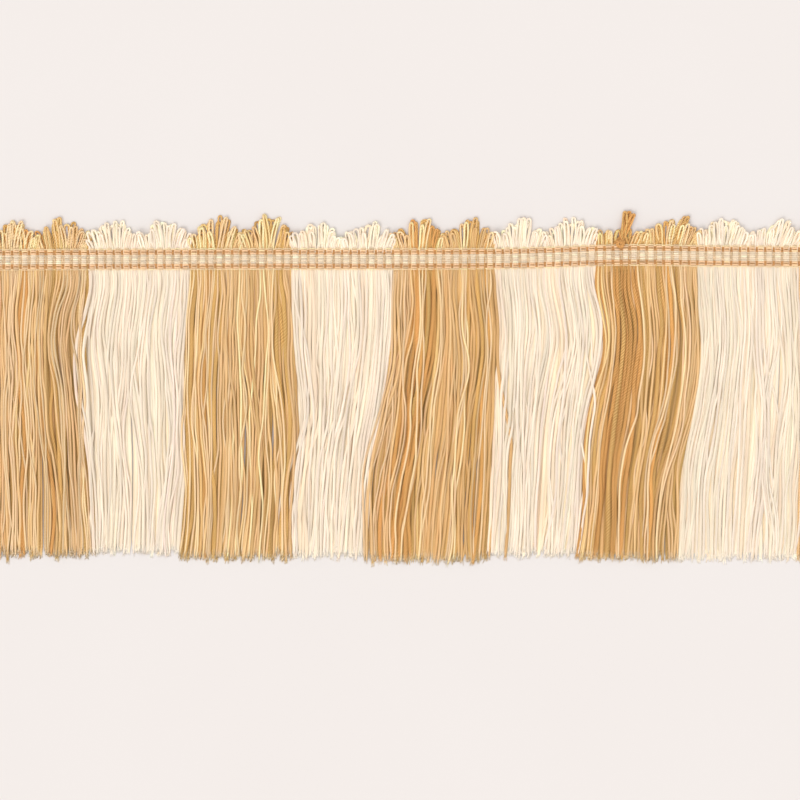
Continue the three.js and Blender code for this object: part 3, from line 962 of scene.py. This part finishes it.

# %% [markdown]
# ## The woven tape
# The tape is a ribbed weave. One set of warp threads runs over every bundle of yarn and
# dives under the gap between bundles. The other set does the opposite. Seen from the face,
# the first set makes the light pads and the second the narrow sunk gaps. The peach threads
# on the pads carry some painted light and the rust and olive threads in the gaps some
# painted shade, beside their real colours. Thin rust threads lie between the peach ones and
# draw dark lines along the two outer bands. The threads are modelled one by one, because
# this is the part of the trim that is looked at closest.

# %% Warp threads
# Real colours of the weave, partly painted: the peach threads on the raised pads are lighter with painted
# light, and the rust and olive threads in the sunk gaps are darker with painted shade.
THREAD_TONES = {
    "edge": (0.995, 0.910, 0.760),
    "peach": (0.970, 0.845, 0.695),
    "rust": (0.845, 0.645, 0.425),
    "line": (0.880, 0.695, 0.475),
    "cream": (0.985, 0.928, 0.840),
    "olive": (0.915, 0.828, 0.700),
}
OVER_BUNDLES = [
    dict(tone="edge", at=4.62, half=0.26),
    dict(tone="peach", at=3.80, half=0.44), dict(tone="line", at=3.17, half=0.16),
    dict(tone="peach", at=2.54, half=0.44),
    dict(tone="cream", at=1.66, half=0.42), dict(tone="cream", at=0.83, half=0.41),
]
OVER_GAPS = [
    dict(tone="edge", at=4.45, half=0.30), dict(tone="rust", at=3.80, half=0.36),
    dict(tone="rust", at=3.08, half=0.36), dict(tone="rust", at=2.36, half=0.36),
    dict(tone="olive", at=1.64, half=0.42), dict(tone="olive", at=0.82, half=0.42),
]
MIDDLE = [dict(tone="olive", half=0.42), dict(tone="cream", half=0.41)]
PAD_SHARE, SOFT_TURN = 0.30, 0.10
ON_PAD, UNDER_GAP = 2.60, 1.05
ON_GAP, UNDER_BUNDLE = 2.05, 0.30
OLIVE_HIGHER = 0.2
FINE, FINE_SUNK = 0.2, 0.14
PINCHED, HALF_HIGH = 0.20, 0.26
FREE_END, WANDER, THREAD_TONE_SPREAD = 0.8, 0.03, 0.035
STATIONS_PER_RIB = 6
WARP_YARN = dict(plies=2, crossing=0.7, groove=1.0)


def warp_thread(bundle, row, at, over_bundles, strip):
    """One warp thread along the whole tape."""
    start, end = LEFT - rng.uniform(0, FREE_END), RIGHT + rng.uniform(0, FREE_END)
    x = np.linspace(start, end, RIBS * STATIONS_PER_RIB + 1)
    raised = np.cos(2 * math.pi * ((x - LEFT) / RIB_PITCH - 0.5)) + PAD_SHARE
    raised = raised / np.sqrt(raised**2 + SOFT_TURN)
    lift = raised if over_bundles else -raised
    top, bottom = (ON_PAD, UNDER_GAP) if over_bundles else (ON_GAP, UNDER_BUNDLE)
    if row["tone"] == "olive":
        top += OLIVE_HIGHER
    fine = row["half"] < FINE
    z = bottom + (top - bottom) * (lift + 1) / 2 - (FINE_SUNK if fine else 0.0)
    y = tape_middle(x) + at + rng.normal(0, WANDER, len(x))
    wide = row["half"] * (1 - PINCHED + PINCHED * np.abs(lift))
    high = np.full(len(x), min(HALF_HIGH, row["half"]))
    rib = np.clip(((x - LEFT) / RIB_PITCH).astype(int), 0, RIBS - 1)
    shade = rng.normal(1, THREAD_TONE_SPREAD, RIBS)[rib][:, None]
    tone = np.array(THREAD_TONES[row["tone"]]) * shade
    path, thick = np.column_stack([x, y, z]), np.column_stack([wide, high])
    add_tube(bundle, path, thick, tone, PAINTED_FLANK_SHADE["tape"], 4 if fine else 6, WARP_YARN, strip)


threads = []
for over_bundles, rows in ((True, OVER_BUNDLES), (False, OVER_GAPS)):
    for row in rows:
        threads += [(row, row["at"], over_bundles), (row, -row["at"], over_bundles)]
threads += [(MIDDLE[0], 0.0, False), (MIDDLE[1], 0.0, True)]
print(len(threads), "warp threads")

# %% [markdown]
# The threads are joined into a light and a dark piece, which together stand for the woven
# tape's solid, so that either can be picked and recoloured alone.

# %% The tape's two pieces
TAPE_PIECES = {
    "tape_light_threads": ("edge", "peach", "cream"),
    "tape_dark_threads": ("rust", "line", "olive"),
}
STRIP_MARGIN = 0.002
for name, tones in TAPE_PIECES.items():
    mine = [t for t in threads if t[0]["tone"] in tones]
    bundle = new_bundle()
    for k, (row, at, over_bundles) in enumerate(mine):
        low, high = k / len(mine), (k + 1) / len(mine)
        warp_thread(bundle, row, at, over_bundles, (0, low + STRIP_MARGIN, 1, high - STRIP_MARGIN))
    make_piece(name, bundle, tape_yarn, "tape_weave", "heading_tape")

# %% [markdown]
# ## Floor
# The trim lies on a pale warm surface. A plain sheet would do, but a faint grain keeps so
# large an even area from looking drawn.

# %% Floor
FLOOR_SIZE = 6
FLOOR_TONES = {"A": (0.864, 0.835, 0.815), "B": (0.872, 0.845, 0.826)}
bpy.ops.mesh.primitive_plane_add(size=FLOOR_SIZE)
floor = bpy.context.object
floor.name = "floor"
pale = bpy.data.materials.new("floor")
pale.use_nodes = True
pale_tree = pale.node_tree
grain_place = add_node(pale_tree, "ShaderNodeTexCoord").outputs["Object"]
grain = add_node(pale_tree, "ShaderNodeTexNoise", {"Vector": grain_place, "Scale": 9.0, "Detail": 2.0})
blend_in = {key: (*linear(rgb), 1) for key, rgb in FLOOR_TONES.items()}
blend_in["Factor"] = grain.outputs["Fac"]
blend = add_node(pale_tree, "ShaderNodeMix", blend_in, data_type="RGBA")
pale_shader = pale_tree.nodes["Principled BSDF"]
pale_tree.links.new(blend.outputs["Result"], pale_shader.inputs["Base Color"])
pale_shader.inputs["Roughness"].default_value = 0.9
floor.data.materials.append(pale)
floor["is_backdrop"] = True
print("floor", floor.dimensions[:2])

# %% [markdown]
# ## Light
# Soft light comes from the lower left. One broad lamp far away and a bright even sky do
# this better than small lamps close by, which would light one end of a long thin thing
# more than the other.

# %% Light
SKY_TONE, SKY_STRENGTH = (0.985, 0.990, 1.0), 1.02


def distant_light(name, azimuth, elevation, strength, softness, tint):
    """A lamp far away, so bright everywhere alike, coming from a compass angle and a height."""
    lamp = bpy.data.lights.new(name, "SUN")
    lamp.energy = strength
    lamp.angle = math.radians(softness)
    lamp.color = tint
    source = bpy.data.objects.new(name, lamp)
    bpy.context.scene.collection.objects.link(source)
    source.rotation_euler = (0, math.radians(90 - elevation), math.radians(azimuth))


world = bpy.data.worlds.new("studio")
world.use_nodes = True
sky = world.node_tree.nodes["Background"]
sky.inputs["Color"].default_value = (*linear(SKY_TONE), 1)
sky.inputs["Strength"].default_value = SKY_STRENGTH
bpy.context.scene.world = world
distant_light("key", azimuth=235, elevation=50, strength=1.1, softness=35, tint=(1.0, 0.985, 0.96))
bpy.context.scene.view_settings.view_transform = "Standard"

# %% [markdown]
# ## Camera
# The trim is seen from straight above through a long lens, which keeps its edges parallel.

# %% Camera
VIEW_WIDTH = 360.0
VIEW_CENTRE = (-4.4, -63.3)
LENS, SENSOR = 100.0, 36.0
lens = bpy.data.cameras.new("camera")
lens.lens = LENS
lens.sensor_width = SENSOR
camera = bpy.data.objects.new("camera", lens)
camera.location = (VIEW_CENTRE[0] * MM, VIEW_CENTRE[1] * MM, VIEW_WIDTH * MM * LENS / SENSOR)
bpy.context.scene.collection.objects.link(camera)
bpy.context.scene.camera = camera
print("camera", round(camera.location.z, 3), "m above the floor")

# %% [markdown]
# ## Last look at the sizes
# The dressed trim has to fill the same space as its solids. Its box is measured here and
# printed.

# %% Measure the sizes and finish
low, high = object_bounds()
print("visual box", [round(v / MM, 1) for v in low], [round(v / MM, 1) for v in high])
